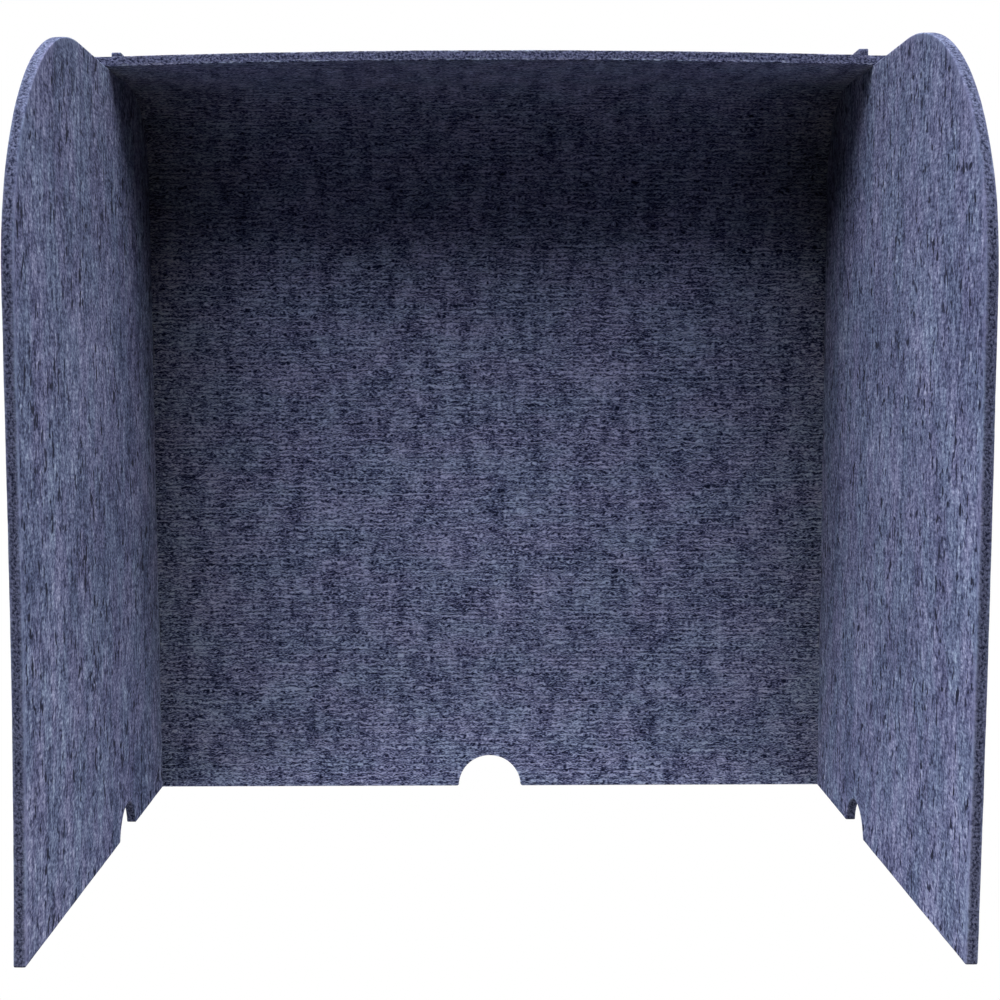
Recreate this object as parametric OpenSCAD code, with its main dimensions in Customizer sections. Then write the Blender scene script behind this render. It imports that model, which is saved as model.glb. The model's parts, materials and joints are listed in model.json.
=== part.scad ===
// Desktop study carrel cut from stiff PET felt, in three flat pieces that slot together.
// One long sheet is the back and, bent forward over the top, the half roof. Two side panels
// stand under it. Their tabs pass through slots in the sheet and stand out past it, and no
// other fixing is used. All sizes in millimetres. The carrel stands on its bottom edges, +Z up,
// open to -Y. The origin is at the bottom centre of everything, tabs included.

/* [Overall size] */

// Clear width between the two side panels
inside_w = 712; // [500:2:900]

// Front to back size of a side panel
side_depth = 512; // [450:2:700]

// Height of a side panel where it carries the roof
side_h = 730; // [600:2:900]

// Thickness of the felt
felt_t = 9; // [6:0.5:12]

/* [Back and roof sheet] */

// How far the sheet runs past the outer face of each side panel
overhang = 20; // [12:1:40]

// Forward reach of the roof, from the inner face of the back
roof_reach = 182; // [150:2:300]

// Inner radius of the bend between back and roof
bend_r = 84; // [50:1:90]

/* [Side panels] */

// Radius of the big round at the front top corner
front_round_r = 218; // [100:2:240]

/* [Tabs and slots] */

// Length of every tab along its edge
tab_len = 40; // [24:1:50]

// How far a tab stands out past the sheet
tab_proud = 17.5; // [5:0.5:25]

// Distance of the roof tab behind the front edge of the roof
roof_tab_setback = 54; // [10:1:60]

// Height of the middle of the lower back tab
low_tab_z = 170; // [120:5:250]

// Height of the middle of the upper back tab
high_tab_z = 480; // [320:5:480]

// Play on every side of a tab in its slot
slot_play = 0.2; // [0.1:0.05:0.5]

/* [Cable notches] */

// Diameter of the round notch in each bottom edge
notch_w = 67; // [40:1:90]

// Distance of a side notch's middle from the front edge
side_notch_y = 346; // [200:1:380]

// How far the middle of a side notch's round lies below the bottom edge
side_notch_sink = 4; // [0:0.5:10]

/* [Hidden] */

// Fine enough for the bounding box and for true curves in the exact model
$fn = 96;

// How far a cutter runs past the face it cuts
over = 1;

// Size of the sheet and place of the side panels across it
sheet_w = inside_w + 2 * felt_t + 2 * overhang;
inner_x = inside_w / 2;
outer_x = inner_x + felt_t;

// Depths are counted from the front edge of the side panels and moved here to the origin
total_depth = side_depth + felt_t + tab_proud;
front_y = -total_depth / 2;

// Roof and its bend
roof_front_y = side_depth - roof_reach;
bend_y = side_depth - bend_r;
bend_z = side_h - bend_r;

// A tab's length past the panel's own edge
tab_h = felt_t + tab_proud;
roof_tab_y = roof_front_y + roof_tab_setback;

felt_color = [0.40, 0.41, 0.58];

// Moves a part from the panel's front edge at depth 0 to the shared origin
module to_origin() {
    translate([0, front_y, 0]) children();
}

// Turns a drawing of depth (across) and height (up) into a slab from x0, as wide as w
module slab(x0, w) {
    translate([x0, 0, 0])
        rotate([90, 0, 90])
            linear_extrude(height = w)
                children();
}

// Tabs of one side panel, as depth and height, each grown by the given play all round
module tab_outlines(play) {
    translate([roof_tab_y - play, side_h - over])
        square([tab_len + 2 * play, tab_h + over + play]);
    for (z = [low_tab_z, high_tab_z])
        translate([side_depth - over, z - tab_len / 2 - play])
            square([tab_h + over + play, tab_len + 2 * play]);
}

// Side panel: big round at the front top, the sheet's bend radius at the rear top
module side_outline() {
    difference() {
        union() {
            difference() {
                square([side_depth, side_h]);
                translate([-over, side_h - front_round_r])
                    square([front_round_r + over, front_round_r + over]);
                translate([bend_y, bend_z])
                    square([bend_r + over, bend_r + over]);
            }
            translate([front_round_r, side_h - front_round_r])
                circle(r = front_round_r);
            translate([bend_y, bend_z])
                circle(r = bend_r);
        }
        translate([side_notch_y, -side_notch_sink])
            circle(d = notch_w);
    }
    tab_outlines(0);
}

// Sheet seen from its end: upright back, quarter bend, flat roof
module sheet_outline() {
    translate([side_depth, 0])
        square([felt_t, bend_z]);
    translate([roof_front_y, side_h])
        square([bend_y - roof_front_y, felt_t]);
    intersection() {
        difference() {
            translate([bend_y, bend_z])
                circle(r = bend_r + felt_t);
            translate([bend_y, bend_z])
                circle(r = bend_r);
        }
        translate([bend_y, bend_z])
            square([bend_r + felt_t + over, bend_r + felt_t + over]);
    }
}

module back_and_roof_sheet() {
    color(felt_color)
        to_origin()
            difference() {
                slab(-sheet_w / 2, sheet_w)
                    sheet_outline();
                slab(-outer_x - slot_play, felt_t + 2 * slot_play)
                    tab_outlines(slot_play);
                slab(inner_x - slot_play, felt_t + 2 * slot_play)
                    tab_outlines(slot_play);
                translate([0, side_depth - over, 0])
                    rotate([-90, 0, 0])
                        cylinder(h = felt_t + 2 * over, d = notch_w);
            }
}

module left_side_panel() {
    color(felt_color)
        to_origin()
            slab(-outer_x, felt_t)
                side_outline();
}

module right_side_panel() {
    color(felt_color)
        to_origin()
            slab(inner_x, felt_t)
                side_outline();
}

back_and_roof_sheet();
left_side_panel();
right_side_panel();
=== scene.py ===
import json
import math

import bmesh
import bpy
import numpy as np
from mathutils import Matrix, Vector, noise
from mathutils.geometry import delaunay_2d_cdt

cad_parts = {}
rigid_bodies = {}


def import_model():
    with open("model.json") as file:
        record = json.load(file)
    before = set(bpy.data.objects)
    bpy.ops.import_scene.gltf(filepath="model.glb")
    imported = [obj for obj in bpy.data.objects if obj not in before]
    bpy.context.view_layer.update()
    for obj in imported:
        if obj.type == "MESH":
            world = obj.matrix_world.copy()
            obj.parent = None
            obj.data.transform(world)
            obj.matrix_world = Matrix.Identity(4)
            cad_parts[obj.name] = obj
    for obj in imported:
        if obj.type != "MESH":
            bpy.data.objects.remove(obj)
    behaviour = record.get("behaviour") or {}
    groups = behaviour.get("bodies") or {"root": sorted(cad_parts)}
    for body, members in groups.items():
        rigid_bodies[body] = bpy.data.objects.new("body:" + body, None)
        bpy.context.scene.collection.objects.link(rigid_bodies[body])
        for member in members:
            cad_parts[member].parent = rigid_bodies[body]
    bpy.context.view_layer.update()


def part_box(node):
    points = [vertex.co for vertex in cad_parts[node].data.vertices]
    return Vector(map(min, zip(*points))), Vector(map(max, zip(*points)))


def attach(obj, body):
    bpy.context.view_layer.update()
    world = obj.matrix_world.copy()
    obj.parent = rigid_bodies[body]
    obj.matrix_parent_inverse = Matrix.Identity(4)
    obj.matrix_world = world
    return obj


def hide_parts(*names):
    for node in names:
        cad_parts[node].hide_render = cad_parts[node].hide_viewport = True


for old in list(bpy.data.objects):
    bpy.data.objects.remove(old)

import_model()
scene = bpy.context.scene
scene.view_settings.view_transform = "Standard"

# ---------------------------------------------------------------- sizes, in metres
left_lo, left_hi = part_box("left_side_panel")
right_lo, right_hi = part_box("right_side_panel")
sheet_lo, sheet_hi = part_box("back_and_roof_sheet")

THICK = left_hi.x - left_lo.x
TAB_PROUD = left_hi.z - sheet_hi.z
TAB_LEN = 0.040
ROOF_TAB_SETBACK = 0.054
TAB_HEIGHTS = (0.170, 0.480)
SLOT_PLAY = 0.0002
NOTCH_R = 0.0335
NOTCH_DEPTH = 0.346
NOTCH_SINK = 0.004
BEND_R = 0.084
FRONT_ROUND_R = 0.218

FRONT_Y = left_lo.y
BACK_Y = sheet_hi.y - THICK
SIDE_H = sheet_hi.z - THICK
ROOF_Y = sheet_lo.y
BEND_Y = BACK_Y - BEND_R
BEND_Z = SIDE_H - BEND_R

ARRIS = 0.0010              # rounding of every cut edge
ARRIS_FADE = 0.0008         # how far in from that rounding its painted highlight fades out
CORNER = 0.0024             # rounding of sharp corners, seen flat
STEP = 0.0030               # spacing of points along an outline
SLOW_SWELL = 0.00022        # unevenness of the faces, in wide waves
QUICK_SWELL = 0.00012       # and in narrow ones
CUT_ROUGHNESS = 0.00010     # unevenness of the cut edges
GRID = 0.0050               # spacing of points inside a face
NOTCH_EASE = 0.11           # angle of a notch's rim left to the rounding of its two corners
NOTCH_POINTS = 34

# how the real felt stands off true: a panel's front edge at its foot, middle and top, towards +X
LEFT_LEAN = (0.0010, 0.0036, 0.0044)
RIGHT_LEAN = (-0.0044, -0.0004, -0.0032)
LEFT_FOOT_OUT = 0.0038      # extra lean outwards of the left panel's front foot,
LEFT_FOOT_HEIGHT = 0.30     # which fades out at this height
BACK_BELLY = 0.0030         # bulge of the back, outwards
CROWN = 0.0053              # how far the middle of the roof's front edge springs up
SPRING_CURVE = 1.6          # how much of that spring gathers towards the front edge
LEFT_LIFT = 0.0011          # how much higher the roof's front edge is at the left panel than in the middle


# ---------------------------------------------------------------- outlines
def rounded(corners):
    """Closed outline through (a, b, radius) corners, each with its arc, with points every STEP."""
    points = []
    count = len(corners)
    for i, (a, b, r) in enumerate(corners):
        here = np.array((a, b))
        if r <= 0:
            points.append(here)
            continue
        to_last = np.array(corners[i - 1][:2]) - here
        to_next = np.array(corners[(i + 1) % count][:2]) - here
        to_last /= np.linalg.norm(to_last)
        to_next /= np.linalg.norm(to_next)
        half = math.acos(max(-1.0, min(1.0, float(to_last @ to_next)))) / 2
        centre = here + (to_last + to_next) / np.linalg.norm(to_last + to_next) * r / math.sin(half)
        first = here + to_last * r / math.tan(half) - centre
        last = here + to_next * r / math.tan(half) - centre
        turn = math.atan2(first[0] * last[1] - first[1] * last[0], float(first @ last))
        steps = max(4, int(abs(turn) * r / STEP))
        for k in range(steps + 1):
            angle = turn * k / steps
            spin = np.array(((math.cos(angle), -math.sin(angle)), (math.sin(angle), math.cos(angle))))
            points.append(centre + spin @ first)
    dense = []
    for i, p in enumerate(points):
        q = points[(i + 1) % len(points)]
        parts = max(1, int(round(np.linalg.norm(q - p) / STEP)))
        dense += [p + (q - p) * k / parts for k in range(parts)]
    return np.array(dense)


def notch(middle, sink=0.0):
    """Corners of a round cable notch in a bottom edge, going towards +a, its centre sink below the edge."""
    start = math.asin(sink / NOTCH_R)
    half = NOTCH_R * math.cos(start)
    rim = [(middle + NOTCH_R * math.cos(t), NOTCH_R * math.sin(t) - sink, 0.0)
           for t in np.linspace(math.pi - start - NOTCH_EASE, start + NOTCH_EASE, NOTCH_POINTS)]
    return [(middle - half, 0.0, CORNER), *rim, (middle + half, 0.0, CORNER)]


def side_outline():
    """Depth and height of a side panel, front edge at a = 0, anticlockwise."""
    deep = BACK_Y - FRONT_Y
    tip = deep + THICK + TAB_PROUD
    top = SIDE_H + THICK + TAB_PROUD
    roof_tab = ROOF_Y - FRONT_Y + ROOF_TAB_SETBACK
    corners = [(0.0, 0.0, CORNER), *notch(NOTCH_DEPTH, NOTCH_SINK), (deep, 0.0, CORNER)]
    for z in TAB_HEIGHTS:
        corners += [(deep, z - TAB_LEN / 2, 0.0), (tip, z - TAB_LEN / 2, CORNER),
                    (tip, z + TAB_LEN / 2, CORNER), (deep, z + TAB_LEN / 2, 0.0)]
    corners += [(deep, SIDE_H, BEND_R),
                (roof_tab + TAB_LEN, SIDE_H, 0.0), (roof_tab + TAB_LEN, top, CORNER),
                (roof_tab, top, CORNER), (roof_tab, SIDE_H, 0.0),
                (0.0, SIDE_H, FRONT_ROUND_R)]
    return [rounded(corners)]


BEND_LENGTH = (BEND_R + THICK / 2) * math.pi / 2
SHEET_LENGTH = BEND_Z + BEND_LENGTH + BEND_Y - ROOF_Y


def slot_hole(x, v):
    """A slot round one tab in the flat sheet, clockwise."""
    half_a, half_b = THICK / 2 + SLOT_PLAY, TAB_LEN / 2 + SLOT_PLAY
    corner = 0.0005
    return rounded([(x - half_a, v - half_b, corner), (x - half_a, v + half_b, corner),
                    (x + half_a, v + half_b, corner), (x + half_a, v - half_b, corner)])


def sheet_outlines():
    """The flat sheet: across and along, the back's bottom edge at b = 0, anticlockwise, with its slots."""
    w = sheet_hi.x
    loops = [rounded([(-w, 0.0, CORNER), *notch(0.0), (w, 0.0, CORNER),
                      (w, SHEET_LENGTH, CORNER), (-w, SHEET_LENGTH, CORNER)])]
    roof_tab_middle = ROOF_Y + ROOF_TAB_SETBACK + TAB_LEN / 2
    along = [*TAB_HEIGHTS, BEND_Z + BEND_LENGTH + BEND_Y - roof_tab_middle]
    for x in ((left_lo.x + left_hi.x) / 2, (right_lo.x + right_hi.x) / 2):
        loops += [slot_hole(x, v) for v in along]
    return loops


# ---------------------------------------------------------------- felt pieces
def inward(loop):
    """For each point of a loop, the way into the felt, long enough to keep an even inset at corners."""
    ahead = np.roll(loop, -1, axis=0) - loop
    ahead /= np.linalg.norm(ahead, axis=1)[:, None]
    left = np.stack([-ahead[:, 1], ahead[:, 0]], 1)
    both = left + np.roll(left, 1, axis=0)
    return both / np.maximum((both ** 2).sum(1) / 2, 0.5)[:, None]


def inside(points, loops):
    """Even-odd test of many points against closed loops."""
    found = np.zeros(len(points), bool)
    for loop in loops:
        a, b = loop, np.roll(loop, -1, axis=0)
        for (ax, ay), (bx, by) in zip(a, b):
            if ay == by:
                continue
            rows = (points[:, 1] >= min(ay, by)) & (points[:, 1] < max(ay, by))
            cross = ax + (points[rows, 1] - ay) * (bx - ax) / (by - ay)
            found[np.flatnonzero(rows)[points[rows, 0] < cross]] ^= True
    return found


def far_from(points, loops, gap):
    """Which points lie further than gap from every loop's points."""
    keep = np.ones(len(points), bool)
    for loop in loops:
        for start in range(0, len(points), 4000):
            part = points[start:start + 4000]
            d = ((part[:, None, :] - loop[None, :, :]) ** 2).sum(2).min(1)
            keep[start:start + 4000] &= d > gap * gap
    return keep


def behind_front(a, b):
    """How far a point of a side panel lies behind its front edge."""
    up = max(0.0, b - (SIDE_H - FRONT_ROUND_R))
    if a >= FRONT_ROUND_R:
        return FRONT_ROUND_R
    return FRONT_ROUND_R - math.hypot(FRONT_ROUND_R - a, up)


def edge_profile():
    """Rings round a loop, over one arris, the cut edge and the far arris, as (inset, w, cut, rim), rim being
    the strength of the painted highlight on the arrises.
    """
    r = ARRIS
    rings = [(r + ARRIS_FADE, 0.0, 0.0, 0.0), (r, 0.0, 0.0, 0.7)]
    for t, cut, rim in ((math.pi / 6, 0.1, 0.8), (math.pi / 3, 0.5, 1.0), (math.pi / 2, 1.0, 0.5)):
        rings.append((r * (1 - math.sin(t)), r * (1 - math.cos(t)), cut, rim))
    edge = [(0.0, THICK * part, 1.0, 0.0) for part in (0.3, 0.5, 0.7)]
    return rings + edge + [(inset, THICK - w, cut, rim) for inset, w, cut, rim in reversed(rings)]


def face_triangles(name, loops, inset_loops):
    """Points and triangles of a face: the inset loops' points first, then a triangular grid inside them."""
    low, high = loops[0].min(0), loops[0].max(0)
    rows = np.arange(low[1] + GRID / 2, high[1], GRID * 0.866)
    grid = np.array([(a, b) for k, b in enumerate(rows)
                     for a in np.arange(low[0] + GRID * (0.25 + 0.5 * (k % 2)), high[0], GRID)])
    grid = grid[inside(grid, inset_loops)]
    grid = grid[far_from(grid, inset_loops, STEP * 0.8)]

    flat = np.vstack([*inset_loops, grid])
    edges, first = [], 0
    for loop in inset_loops:
        edges += [(first + i, first + (i + 1) % len(loop)) for i in range(len(loop))]
        first += len(loop)
    made = delaunay_2d_cdt([Vector(p) for p in flat], edges, [], 0, 1e-7)
    if len(made[0]) != len(flat):
        raise RuntimeError(f"{name}: the face triangulation added points")
    triangles = np.array(made[2])
    return flat, triangles[inside(flat[triangles].mean(1), inset_loops)]


def felt_slab(name, loops, seed):
    """Points (a, b, w) of a closed slab of felt, the (cut, rim) of each one, rim being its painted
    highlight, and the faces.
    """
    profile = edge_profile()
    inset_loops = [loop + inward(loop) * profile[0][0] for loop in loops]
    flat, triangles = face_triangles(name, loops, inset_loops)
    points, edge_values, faces = [], [], []

    def add(ab, w, cut, rim):
        points.append((*ab, w))
        edge_values.append((cut, rim if ab[1] > 2 * ARRIS else 0.0))
        return len(points) - 1

    near = [add(p, 0.0, 0.0, 0.0) for p in flat]
    far = [add(p, THICK, 0.0, 0.0) for p in flat]
    faces += [(near[i], near[j], near[k]) for i, j, k in triangles]
    faces += [(far[k], far[j], far[i]) for i, j, k in triangles]
    first = 0
    for loop in loops:
        way = inward(loop)
        count = len(loop)
        last_ring = near[first:first + count]
        for step, (inset, w, cut, rim) in enumerate(profile[1:], 1):
            if step == len(profile) - 1:
                ring = far[first:first + count]
            else:
                rough = [CUT_ROUGHNESS * cut * (1 + noise.noise(Vector((*p, w + seed)) * 420)) for p in loop]
                ring = [add(p + d * (inset + k), w, cut, rim) for p, d, k in zip(loop, way, rough)]
            faces += [(last_ring[i], last_ring[(i + 1) % count], ring[(i + 1) % count], ring[i])
                      for i in range(count)]
            last_ring = ring
        first += count
    return points, edge_values, faces


def felt_piece(name, loops, place, streak, seed):
    """A closed slab of felt: both faces, a cut edge all round, and soft arrises, placed by place(a, b, w).

    streak says which of a and b the fibres run along. The felt attribute holds (along, across, depth),
    cut is 1 on the cut edge, rim is the painted highlight, 1 on its arrises but for the bottom ones, and
    front is the distance behind a panel's front edge.
    """
    points, edge_values, faces = felt_slab(name, loops, seed)
    verts = []
    for (a, b, w), (cut, _) in zip(points, edge_values):
        spot = Vector((a, b, w * 40 + seed))
        swell = SLOW_SWELL * noise.noise(spot * 28) + QUICK_SWELL * noise.noise(spot * 90)
        verts.append(place(a, b, w + swell * (1 - cut)))
    mesh = bpy.data.meshes.new(name)
    mesh.from_pydata(verts, [], faces)

    order = (0, 1) if streak == "a" else (1, 0)
    felt = mesh.attributes.new("felt", "FLOAT_VECTOR", "POINT")
    felt.data.foreach_set("vector", [c for p in points for c in (p[order[0]] + seed, p[order[1]], p[2])])
    cuts, rim_highlights = zip(*edge_values)
    front = [behind_front(a, b) if streak == "b" else FRONT_ROUND_R for a, b, _ in points]
    for label, values in (("cut", cuts), ("rim", rim_highlights), ("front", front)):
        mesh.attributes.new(label, "FLOAT", "POINT").data.foreach_set("value", values)

    tidy = bmesh.new()
    tidy.from_mesh(mesh)
    bmesh.ops.recalc_face_normals(tidy, faces=tidy.faces)
    tidy.to_mesh(mesh)
    tidy.free()
    mesh.shade_smooth()
    piece = bpy.data.objects.new(name, mesh)
    scene.collection.objects.link(piece)
    return piece


def lean(b, foot, middle, top):
    """How far a panel's front edge stands off true at height b: a smooth curve through three values."""
    t = max(0.0, min(1.0, b / SIDE_H))
    return foot * (1 - t) ** 2 + 2 * middle * t * (1 - t) + top * t * t


def place_left(a, b, w):
    """Left panel: its front edge leans in at the top and its front foot stands out."""
    ahead = max(0.0, 1 - a / (BACK_Y - FRONT_Y))
    foot = -LEFT_FOOT_OUT * max(0.0, 1 - b / LEFT_FOOT_HEIGHT) ** 2
    return (left_lo.x + w + ahead * (foot + lean(b, *LEFT_LEAN)), FRONT_Y + a, b)


def place_right(a, b, w):
    """Right panel: its front edge is bowed, with the foot and the top standing in."""
    ahead = max(0.0, 1 - a / (BACK_Y - FRONT_Y))
    return (right_lo.x + w + ahead * lean(b, *RIGHT_LEAN), FRONT_Y + a, b)


def place_sheet(a, b, w):
    """Back, bend and roof. w is 0 on the inner face. The roof springs up along its free front edge."""
    across = max(0.0, 1 - (a / left_hi.x) ** 2)
    if b <= BEND_Z:
        belly = BACK_BELLY * across * math.sin(math.pi * max(0.0, b) / BEND_Z)
        return (a, BACK_Y + w + belly, b)
    along = b - BEND_Z
    tilt = LEFT_LIFT * (1 + a / left_hi.x)
    lift = (CROWN * across + tilt) * (along / (SHEET_LENGTH - BEND_Z)) ** SPRING_CURVE
    if along <= BEND_LENGTH:
        t = along / (BEND_R + THICK / 2)
        reach = BEND_R + w + lift
        return (a, BEND_Y + reach * math.cos(t), BEND_Z + reach * math.sin(t))
    return (a, BEND_Y - (along - BEND_LENGTH), SIDE_H + w + lift)


# ---------------------------------------------------------------- felt material
class Nodes:
    """Short way to write a node tree."""

    def __init__(self, tree):
        self.tree = tree

    def add(self, kind, inputs=(), **settings):
        made = self.tree.nodes.new(kind)
        for key, value in settings.items():
            setattr(made, key, value)
        for key, value in dict(inputs).items():
            self.set(made.inputs[key], value)
        return made

    def set(self, socket, value):
        if isinstance(value, bpy.types.NodeSocket):
            self.tree.links.new(value, socket)
        else:
            socket.default_value = value

    def math(self, operation, *values, clamp=False):
        made = self.add("ShaderNodeMath", operation=operation, use_clamp=clamp)
        for socket, value in zip(made.inputs, values):
            self.set(socket, value)
        return made.outputs[0]

    def vector(self, operation, *values):
        made = self.add("ShaderNodeVectorMath", operation=operation)
        for socket, value in zip(made.inputs, values):
            self.set(socket, value)
        return made.outputs[0]

    def mix(self, factor, a, b, blend="MIX"):
        made = self.add("ShaderNodeMix", data_type="RGBA", blend_type=blend)
        self.set(made.inputs[0], factor)
        self.set(made.inputs[6], a)
        self.set(made.inputs[7], b)
        return made.outputs[2]

    def spread(self, value, low, high, to_low=0.0, to_high=1.0):
        made = self.add("ShaderNodeMapRange", interpolation_type="SMOOTHSTEP")
        for socket, v in zip(made.inputs, (value, low, high, to_low, to_high)):
            self.set(socket, v)
        return made.outputs[0]

    def noise(self, where, cell, detail=2.0, rough=0.55, distortion=0.0):
        """Noise with cells of the given size in millimetres along, across and through the felt."""
        sized = self.vector("MULTIPLY", where, tuple(1000.0 / c for c in cell))
        made = self.add("ShaderNodeTexNoise",
                        {"Vector": sized, "Scale": 1.0, "Detail": detail, "Roughness": rough,
                         "Distortion": distortion})
        return made.outputs[0]


# Marks: size along and across the fibres in millimetres, and how strongly each one shows. Then how strong
# the fine ribs are, the middle tone, the gain and tint of the colours (the sheet's higher gain is painted
# light), how light the outer face is against the inner one (on the sheet, painted darker than the inner),
# how far the hue wanders, and how pale the cut edge is where it stands upright and where it faces up (the
# extra pallor there is painted light from above).
SHEET_GRAIN = {
    "fibre": (3.2, 1.0, 2.7),
    "tuft": (10, 2.3, 1.15),
    "streak": (30, 4.0, 0.6),
    "blotch": (18, 46, 0.8),
    "line": (16, 2.3, -0.27),
    "fleck": (12, 3.0, -0.25),
    "rib": 0.19,
    "tone": 0.55,
    # painted light: a gain this much above the panels' paints the sheet lighter, making up for the weaker
    # light on the back and roof
    "gain": 1.36,
    "tint": (1.02, 1.0, 0.93),
    "outer": 0.72,
    "hue": 0.35,
    "edge": 1.22,
    "edge_top_painted_light": 1.9,
}
PANEL_GRAIN = {
    "fibre": (2.6, 4.2, 1.05),
    "tuft": (7.0, 6.5, 0.7),
    "streak": (24, 7.0, 0.7),
    "blotch": (140, 60, 0.5),
    "line": (18, 4.2, -0.26),
    "fleck": (13, 5.6, -0.9),
    "rib": 0.0,
    "tone": 0.595,
    "gain": 0.83,
    "tint": (1.0, 1.0, 1.0),
    "outer": 1.0,
    "hue": 0.5,
    "edge": 0.81,
    "edge_top_painted_light": 1.72,
}

# felt colours from the darkest fibre to the lightest, by tone
FELT_COLOURS = (
    (0.02, (0.010, 0.013, 0.040)),
    (0.28, (0.054, 0.065, 0.154)),
    (0.50, (0.145, 0.167, 0.325)),
    (0.74, (0.295, 0.335, 0.552)),
    (0.98, (0.540, 0.600, 0.855)),
)
HUES = ((0.86, 1.03, 0.99, 1), (1.10, 0.98, 1.04, 1))       # the two hues it wanders between
CUT_COLOURS = ((0.015, 0.019, 0.058, 1), (0.208, 0.228, 0.400, 1))
CUT_TOP_LIGHT_TINT = (0.96, 1.0, 0.93)    # tint of the painted light on a cut edge that faces up
RIM_HIGHLIGHT_GAIN = (1.6, 1.58, 1.48, 1)     # painted highlight: how much paler than the face its arrises are painted
BRIGHTEST = 0.92            # the most that any colour channel of the felt may be
PRESSED_TONE = 0.66         # tone of the smoother strip behind a panel's front edge
PRESSED_WIDTH = (0.002, 0.009)      # where that strip starts and stops fading
RIB_PITCH = 0.0046
WANDER = 0.007              # full swing of the fibres sideways
SHADE_REACH = 0.16          # how far off other felt still darkens a spot
SHADE = (0.52, 0.505, 0.465, 1)     # the most it darkens one


def new_material(name):
    """An empty node material and its nodes."""
    material = bpy.data.materials.new(name)
    material.use_nodes = True
    material.node_tree.nodes.clear()
    return material, Nodes(material.node_tree)


def felt_tone(n, felt, front, grain):
    """Tone of the felt's faces, and the fibre, tuft and rib marks in it, which the bump uses too."""
    # the fibres wander sideways
    drift = n.noise(felt, (14, 7, 7), detail=1)
    drift = n.math("MULTIPLY", n.math("SUBTRACT", drift, 0.5), WANDER)
    wander = n.add("ShaderNodeCombineXYZ", {"Y": drift}).outputs[0]
    where = n.vector("ADD", felt, wander)

    def marks(layer, at=where, **settings):
        along, across = grain[layer][:2]
        return n.noise(at, (along, across, across), **settings)

    fibre = marks("fibre", detail=1.5, rough=0.6)
    tuft = marks("tuft", detail=1)
    streak = marks("streak", detail=1)
    blotch = marks("blotch", felt)
    tone = grain["tone"]
    for layer, value in (("fibre", fibre), ("tuft", tuft), ("streak", streak), ("blotch", blotch)):
        tone = n.math("MULTIPLY_ADD", n.math("SUBTRACT", value, 0.5), grain[layer][2], tone)

    across = n.add("ShaderNodeSeparateXYZ", {"Vector": where}).outputs[1]
    rib = n.math("SINE", n.math("MULTIPLY", across, 2 * math.pi / RIB_PITCH))
    rib = n.math("MULTIPLY", rib, n.spread(tuft, 0.35, 0.65, 0.2, 1.0))
    tone = n.math("MULTIPLY_ADD", rib, grain["rib"], tone)

    # thin dark lines and crowds of dark flecks
    line = n.math("ABSOLUTE", n.math("SUBTRACT", marks("line", detail=1, distortion=0.5), 0.5))
    tone = n.math("MULTIPLY_ADD", n.spread(line, 0.0, 0.045, 1.0, 0.0), grain["line"][2], tone)
    fleck = n.spread(marks("fleck", detail=1), 0.585, 0.675)
    crowd = n.spread(n.noise(felt, (60, 28, 28), detail=1), 0.40, 0.62)
    tone = n.math("MULTIPLY_ADD", n.math("MULTIPLY", fleck, crowd), grain["fleck"][2], tone, clamp=True)

    # the pressed strip behind a panel's front edge
    pressed = n.math("MULTIPLY", n.spread(front, *PRESSED_WIDTH, 1.0, 0.0), 0.6)
    tone = n.math("MULTIPLY_ADD", n.math("SUBTRACT", PRESSED_TONE, tone), pressed, tone)
    return tone, fibre, tuft, rib


def felt_colour(n, felt, tone, grain):
    """Colour of the felt's faces by tone, with the outer face painted darker than the inner one (painted
    light on the sheet's inner face) and hues that wander.
    """
    ramp = n.add("ShaderNodeValToRGB", {"Fac": tone})
    while len(ramp.color_ramp.elements) < len(FELT_COLOURS):
        ramp.color_ramp.elements.new(0.5)
    for element, (position, colour) in zip(ramp.color_ramp.elements, FELT_COLOURS):
        element.position = position
        gain = min(grain["gain"], BRIGHTEST / max(colour))
        element.color = (*(c * t * gain for c, t in zip(colour, grain["tint"])), 1)
    depth = n.add("ShaderNodeSeparateXYZ", {"Vector": felt}).outputs[2]
    # painted light: on the sheet the outer face is painted darker than the inner one, which keeps most of
    # the painted lightening
    outer = n.mix(n.spread(depth, 0.3 * THICK, 0.7 * THICK), (1, 1, 1, 1), (*[grain["outer"]] * 3, 1))
    face = n.mix(1.0, ramp.outputs[0], outer, "MULTIPLY")
    hue = n.spread(n.noise(felt, (80, 36, 36), detail=2), 0.35, 0.65)
    return n.mix(grain["hue"], face, n.mix(hue, *HUES), "MULTIPLY")


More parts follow.
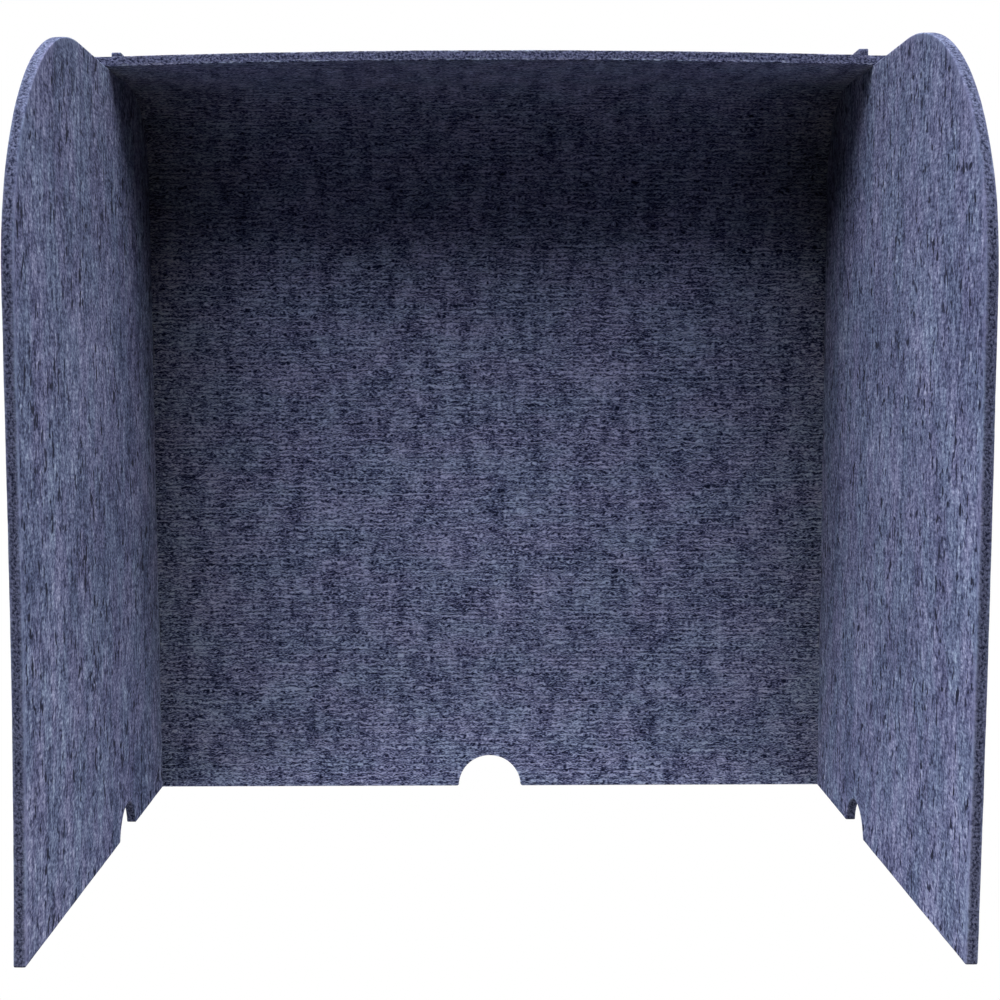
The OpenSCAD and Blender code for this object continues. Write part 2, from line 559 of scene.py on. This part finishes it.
def cut_colour(n, felt, grain):
    """Colour and speckle of the cut edge: fibre ends in faint layers, with painted light from above that
    makes it paler, softer and tinted where it faces up.
    """
    normal = n.add("ShaderNodeNewGeometry").outputs["Normal"]
    # painted light from above: where the cut edge faces up it is painted paler, softer and tinted
    painted_top_light = n.spread(n.add("ShaderNodeSeparateXYZ", {"Vector": normal}).outputs[2], -0.3, 1.0)
    grain_end = n.noise(felt, (2.4, 2.4, 1.9), detail=1.5, rough=0.6)
    layer = n.noise(felt, (30, 30, 2.4), detail=1)
    contrast = n.math("MULTIPLY_ADD", painted_top_light, -1.4, 3.7)
    speck = n.math("MULTIPLY_ADD", n.math("SUBTRACT", grain_end, 0.5), contrast, 0.5)
    speck = n.math("MULTIPLY_ADD", n.math("SUBTRACT", layer, 0.5), 0.6, speck, clamp=True)
    edge_pallor_and_top_light = n.math("MULTIPLY_ADD", painted_top_light, grain["edge_top_painted_light"] - grain["edge"], grain["edge"])
    edge_pallor_and_top_light = n.add("ShaderNodeCombineXYZ", {"X": edge_pallor_and_top_light, "Y": edge_pallor_and_top_light, "Z": edge_pallor_and_top_light}).outputs[0]
    edge = n.vector("MULTIPLY", n.mix(speck, *CUT_COLOURS), edge_pallor_and_top_light)
    return n.mix(painted_top_light, edge, n.vector("MULTIPLY", edge, CUT_TOP_LIGHT_TINT)), speck


def corner_shade(n):
    """Factor that darkens the corners, where less light gets in."""
    openness = n.add("ShaderNodeAmbientOcclusion", {"Distance": SHADE_REACH}, samples=4).outputs["AO"]
    return n.mix(n.spread(openness, 0.35, 0.95), SHADE, (1, 1, 1, 1))


def felt_material(name, grain):
    """Heathered pressed felt: short fibres, wandering streaks, dark flecks, soft blotches, grainy edges,
    with painted highlights on the arrises, painted light on upward cut edges and painted shade in the
    corners.
    """
    material, n = new_material(name)
    felt = n.add("ShaderNodeAttribute", attribute_name="felt").outputs["Vector"]
    cut = n.add("ShaderNodeAttribute", attribute_name="cut").outputs["Fac"]
    rim = n.add("ShaderNodeAttribute", attribute_name="rim").outputs["Fac"]
    front = n.add("ShaderNodeAttribute", attribute_name="front").outputs["Fac"]

    tone, fibre, tuft, rib = felt_tone(n, felt, front, grain)
    face = felt_colour(n, felt, tone, grain)
    edge, speck = cut_colour(n, felt, grain)
    colour = n.mix(cut, face, edge)
    highlight_patches = n.spread(n.noise(felt, (5, 5, 5), detail=2), 0.3, 0.6, 0.35, 1.0)
    # painted highlight: the arrises are painted paler than the face, broken into patches
    colour = n.mix(n.math("MULTIPLY", rim, highlight_patches), colour, n.mix(1.0, face, RIM_HIGHLIGHT_GAIN, "MULTIPLY"))
    colour = n.mix(1.0, colour, corner_shade(n), "MULTIPLY")

    height = n.math("MULTIPLY_ADD", tuft, 0.9, fibre)
    height = n.math("MULTIPLY_ADD", rib, 0.10, height)
    height = n.mix(cut, height, speck)
    bump = n.add("ShaderNodeBump", {"Strength": 0.55, "Distance": 0.0009, "Height": height})
    surface = n.add("ShaderNodeBsdfPrincipled",
                    {"Base Color": colour, "Roughness": n.spread(fibre, 0.2, 0.8, 0.97, 0.86),
                     "Specular IOR Level": 0.10, "Diffuse Roughness": 1.0, "Sheen Weight": 0.08,
                     "Sheen Roughness": 0.45, "Sheen Tint": (0.72, 0.76, 1.0, 1),
                     "Normal": bump.outputs[0]})
    n.add("ShaderNodeOutputMaterial", {"Surface": surface.outputs[0]})
    return material


sheet_felt = felt_material("heathered_felt_sheet_painted_lighter", SHEET_GRAIN)
panel_felt = felt_material("heathered_felt_panel", PANEL_GRAIN)
pieces = [
    ("left_side_felt", "left_side_panel", side_outline(), place_left, "b", 3.1, panel_felt),
    ("right_side_felt", "right_side_panel", side_outline(), place_right, "b", 7.7, panel_felt),
    ("back_and_roof_felt", "back_and_roof_sheet", sheet_outlines(), place_sheet, "a", 12.4, sheet_felt),
]
for name, node, loops, place, streak, seed, felt in pieces:
    piece = felt_piece(name, loops, place, streak, seed)
    piece.data.materials.append(felt)
    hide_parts(node)
    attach(piece, "root")


# ---------------------------------------------------------------- stage
def plain_emitter(name, colour, strength):
    material, n = new_material(name)
    glow = n.add("ShaderNodeEmission", {"Color": (*colour, 1), "Strength": strength}).outputs[0]
    n.add("ShaderNodeOutputMaterial", {"Surface": glow})
    material.cycles.emission_sampling = "NONE"
    return material


def stage_mesh(name, build, material):
    """A stage piece that the camera sees, but that throws no light onto the felt."""
    mesh = bpy.data.meshes.new(name)
    made = bmesh.new()
    build(made)
    made.to_mesh(mesh)
    made.free()
    thing = bpy.data.objects.new(name, mesh)
    scene.collection.objects.link(thing)
    mesh.materials.append(material)
    thing.visible_diffuse = False
    thing.visible_glossy = False
    thing.visible_shadow = False
    return thing


stage_mesh("floor", lambda b: bmesh.ops.create_circle(b, cap_ends=True, segments=96, radius=18),
           plain_emitter("pale_floor", (1, 1, 1), 1.0))
stage_mesh("backdrop", lambda b: bmesh.ops.create_icosphere(b, subdivisions=4, radius=19),
           plain_emitter("pale_backdrop", (1, 1, 1), 1.0))

world = bpy.data.worlds.new("studio")
scene.world = world
world.use_nodes = True
world.node_tree.nodes["Background"].inputs[0].default_value = (0.93, 0.96, 1, 1)
world.node_tree.nodes["Background"].inputs[1].default_value = 0.004


def softbox(name, place, target, width, height, power, colour=(1, 1, 1)):
    data = bpy.data.lights.new(name, "AREA")
    data.shape = "RECTANGLE"
    data.size, data.size_y = width, height
    data.energy = power
    data.color = colour
    lamp = bpy.data.objects.new(name, data)
    lamp.location = place
    lamp.rotation_mode = "QUATERNION"
    lamp.rotation_quaternion = (Vector(target) - Vector(place)).to_track_quat("-Z", "Y")
    scene.collection.objects.link(lamp)
    return lamp


AIM = (0, -0.1, 0.38)
softbox("overhead", (0.05, -0.1, 3.3), AIM, 2.4, 0.9, 75)
softbox("high_left", (-1.0, -1.0, 3.1), AIM, 1.1, 0.9, 29)
softbox("high_right", (1.0, -1.0, 3.1), AIM, 1.1, 0.9, 17)
softbox("front_left", (-1.5, -1.5, 2.6), AIM, 1.1, 0.9, 17)
softbox("key", (-0.7, -1.8, 2.5), AIM, 0.9, 0.7, 7)
softbox("front_right", (1.5, -1.5, 2.6), AIM, 1.1, 0.9, 18)
softbox("low_left", (-2.6, -0.9, -0.3), AIM, 1.4, 0.9, 41)
softbox("low_right", (2.6, -0.9, -0.3), AIM, 1.4, 0.9, 28)
softbox("bounce", (0.05, -0.4, -0.02), (0.05, -0.4, 1), 0.9, 0.5, 0.72, (1.0, 0.92, 0.76))
softbox("back", (0.3, 3.0, 0.7), AIM, 2.6, 0.8, 50)

# ---------------------------------------------------------------- camera
camera = bpy.data.objects.new("camera", bpy.data.cameras.new("camera"))
scene.collection.objects.link(camera)
scene.camera = camera
camera.data.sensor_width = 36.0
camera.data.lens = 55.04
camera.data.shift_x = 0.0373
camera.data.shift_y = 0.0108
yaw, pitch, roll = -0.0030, 0.0887, -0.0044
ahead = Vector((math.sin(yaw) * math.cos(pitch), math.cos(yaw) * math.cos(pitch), -math.sin(pitch)))
right = Vector((math.cos(yaw), -math.sin(yaw), 0))
up = right.cross(ahead)
side = right * math.cos(roll) + up * math.sin(roll)
top = up * math.cos(roll) - right * math.sin(roll)
turned = Matrix((side, top, -ahead)).transposed().to_4x4()
camera.matrix_world = Matrix.Translation((-0.0232, FRONT_Y - 1.1194, 0.4456)) @ turned
